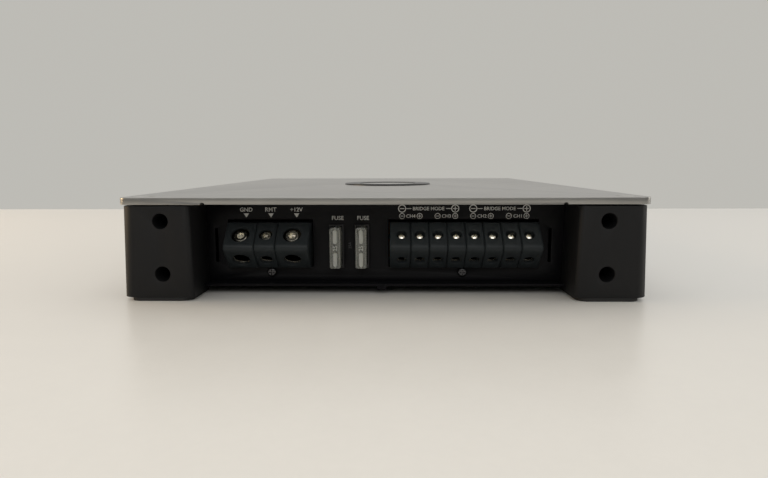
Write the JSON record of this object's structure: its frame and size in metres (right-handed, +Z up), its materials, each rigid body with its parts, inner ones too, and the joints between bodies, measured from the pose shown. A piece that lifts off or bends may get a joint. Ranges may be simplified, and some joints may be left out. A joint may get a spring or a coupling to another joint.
{
  "type": "car amplifier",
  "caption": "Low car audio amplifier with a brushed plate on black corner posts, screw terminals and fuses at one end, and phono inputs and controls at the other.",
  "frame": {"origin": "on the surface the feet stand on, below the middle of the top plate", "axes": "+X right when facing the power and speaker end, +Y from the power end to the input end, +Z up"},
  "size_m": [0.2352, 0.322, 0.0476],
  "materials": {
    "plate_aluminium": "brushed along the length, clear anodised",
    "badge_metal": "turned, dark anodised ring and lighter centre",
    "cast_black": "cast, fine matt black powder coat",
    "heatsink_black": "extruded, satin black anodised",
    "cover_black": "satin black paint",
    "panel_black": "matt black paint with pale printed legends",
    "foot_rubber": "matt",
    "terminal_plastic": "moulded, semi-gloss dark blue-grey",
    "holder_plastic": "moulded, black",
    "knob_plastic": "moulded, black",
    "plated_brass": "nickel plated",
    "plated_screw": "bright nickel plate",
    "plated_steel": "zinc plated",
    "black_steel": "black oxide",
    "spring_steel": "rolled",
    "fuse_clear": "clear, glossy",
    "fuse_metal": "stamped zinc alloy",
    "board_laminate": "solder resist over glass laminate",
    "ferrite": "sintered",
    "copper_wire": "enamelled copper",
    "capacitor_sleeve": "sleeved can",
    "moulded_epoxy": "moulded",
    "thermal_pad": "soft, matt",
    "light_lens": "clear lens"
  },
  "bodies": {
    "chassis": {"heatsink": "heatsink_black", "top_plate": "plate_aluminium", "top_plate_screws": "plated_steel", "badge": "badge_metal", "front_left_post": "cast_black", "front_right_post": "cast_black", "rear_left_post": "cast_black", "rear_right_post": "cast_black", "rubber_feet": "foot_rubber", "post_screws": "black_steel", "bottom_cover": "cover_black", "bottom_cover_screws": "black_steel", "power_end_panel": "panel_black", "input_end_panel": "panel_black", "panel_screws": "black_steel", "panel_brackets": "plated_steel", "power_terminal_housings": "terminal_plastic", "speaker_terminal_housings": "terminal_plastic", "power_terminal_clamps": "plated_brass", "speaker_terminal_clamps": "plated_brass", "fuse_holders": "holder_plastic", "fuse_contacts": "plated_brass", "circuit_board": "board_laminate", "board_standoffs": "plated_steel", "board_screws": "plated_steel", "transformer_core": "ferrite", "transformer_winding": "copper_wire", "reservoir_capacitors": "capacitor_sleeve", "output_inductors": "ferrite", "power_transistors": "moulded_epoxy", "thermal_pads": "thermal_pad", "transistor_clips": "spring_steel", "phono_socket_block": "holder_plastic", "phono_socket_shells": "plated_brass", "potentiometer_bodies": "holder_plastic", "switch_bodies": "plated_steel", "indicator_lights": "light_lens"},
    "fuse_left": {"fuse_left_body": "fuse_clear", "fuse_left_element": "fuse_metal"},
    "fuse_right": {"fuse_right_body": "fuse_clear", "fuse_right_element": "fuse_metal"},
    "ground_screw": {"ground_screw": "plated_screw"},
    "remote_screw": {"remote_screw": "plated_screw"},
    "positive_screw": {"positive_screw": "plated_screw"},
    "speaker_screw_1": {"speaker_screw_1": "plated_screw"},
    "speaker_screw_2": {"speaker_screw_2": "plated_screw"},
    "speaker_screw_3": {"speaker_screw_3": "plated_screw"},
    "speaker_screw_4": {"speaker_screw_4": "plated_screw"},
    "speaker_screw_5": {"speaker_screw_5": "plated_screw"},
    "speaker_screw_6": {"speaker_screw_6": "plated_screw"},
    "speaker_screw_7": {"speaker_screw_7": "plated_screw"},
    "speaker_screw_8": {"speaker_screw_8": "plated_screw"},
    "level_knob_front": {"level_knob_front": "knob_plastic"},
    "crossover_knob_front": {"crossover_knob_front": "knob_plastic"},
    "level_knob_rear": {"level_knob_rear": "knob_plastic"},
    "crossover_knob_rear": {"crossover_knob_rear": "knob_plastic"},
    "input_switch_slider": {"input_switch_slider": "knob_plastic"},
    "mode_switch_front_slider": {"mode_switch_front_slider": "knob_plastic"},
    "mode_switch_rear_slider": {"mode_switch_rear_slider": "knob_plastic"}
  },
  "joints": [
    {"name": "fuse_left_pull", "type": "slide", "parent": "chassis", "child": "fuse_left", "axis": [0, -1, 0], "range_m": [0, 0.015]},
    {"name": "fuse_right_pull", "type": "slide", "parent": "chassis", "child": "fuse_right", "axis": [0, -1, 0], "range_m": [0, 0.015]},
    {"name": "ground_screw_travel", "type": "slide", "parent": "chassis", "child": "ground_screw", "axis": [0, -0.7071, 0.7071], "range_m": [-0.0035, 0.001]},
    {"name": "remote_screw_travel", "type": "slide", "parent": "chassis", "child": "remote_screw", "axis": [0, -0.7071, 0.7071], "range_m": [-0.003, 0.001]},
    {"name": "positive_screw_travel", "type": "slide", "parent": "chassis", "child": "positive_screw", "axis": [0, -0.7071, 0.7071], "range_m": [-0.0035, 0.001]},
    {"name": "speaker_screw_1_travel", "type": "slide", "parent": "chassis", "child": "speaker_screw_1", "axis": [0, -0.7071, 0.7071], "range_m": [-0.002, 0.001]},
    {"name": "speaker_screw_2_travel", "type": "slide", "parent": "chassis", "child": "speaker_screw_2", "axis": [0, -0.7071, 0.7071], "range_m": [-0.002, 0.001]},
    {"name": "speaker_screw_3_travel", "type": "slide", "parent": "chassis", "child": "speaker_screw_3", "axis": [0, -0.7071, 0.7071], "range_m": [-0.002, 0.001]},
    {"name": "speaker_screw_4_travel", "type": "slide", "parent": "chassis", "child": "speaker_screw_4", "axis": [0, -0.7071, 0.7071], "range_m": [-0.002, 0.001]},
    {"name": "speaker_screw_5_travel", "type": "slide", "parent": "chassis", "child": "speaker_screw_5", "axis": [0, -0.7071, 0.7071], "range_m": [-0.002, 0.001]},
    {"name": "speaker_screw_6_travel", "type": "slide", "parent": "chassis", "child": "speaker_screw_6", "axis": [0, -0.7071, 0.7071], "range_m": [-0.002, 0.001]},
    {"name": "speaker_screw_7_travel", "type": "slide", "parent": "chassis", "child": "speaker_screw_7", "axis": [0, -0.7071, 0.7071], "range_m": [-0.002, 0.001]},
    {"name": "speaker_screw_8_travel", "type": "slide", "parent": "chassis", "child": "speaker_screw_8", "axis": [0, -0.7071, 0.7071], "range_m": [-0.002, 0.001]},
    {"name": "level_knob_front_turn", "type": "hinge", "parent": "chassis", "child": "level_knob_front", "pos_m": [-0.026, 0.1396, 0.024], "axis": [0, 1, 0], "range_deg": [-140, 140]},
    {"name": "crossover_knob_front_turn", "type": "hinge", "parent": "chassis", "child": "crossover_knob_front", "pos_m": [-0.006, 0.1396, 0.024], "axis": [0, 1, 0], "range_deg": [-140, 140]},
    {"name": "level_knob_rear_turn", "type": "hinge", "parent": "chassis", "child": "level_knob_rear", "pos_m": [0.03, 0.1396, 0.024], "axis": [0, 1, 0], "range_deg": [-140, 140]},
    {"name": "crossover_knob_rear_turn", "type": "hinge", "parent": "chassis", "child": "crossover_knob_rear", "pos_m": [0.05, 0.1396, 0.024], "axis": [0, 1, 0], "range_deg": [-140, 140]},
    {"name": "input_switch_slide", "type": "slide", "parent": "chassis", "child": "input_switch_slider", "axis": [1, 0, 0], "range_m": [0, 0.002]},
    {"name": "mode_switch_front_slide", "type": "slide", "parent": "chassis", "child": "mode_switch_front_slider", "axis": [1, 0, 0], "range_m": [-0.002, 0.002]},
    {"name": "mode_switch_rear_slide", "type": "slide", "parent": "chassis", "child": "mode_switch_rear_slider", "axis": [1, 0, 0], "range_m": [-0.002, 0.002]}
  ]
}
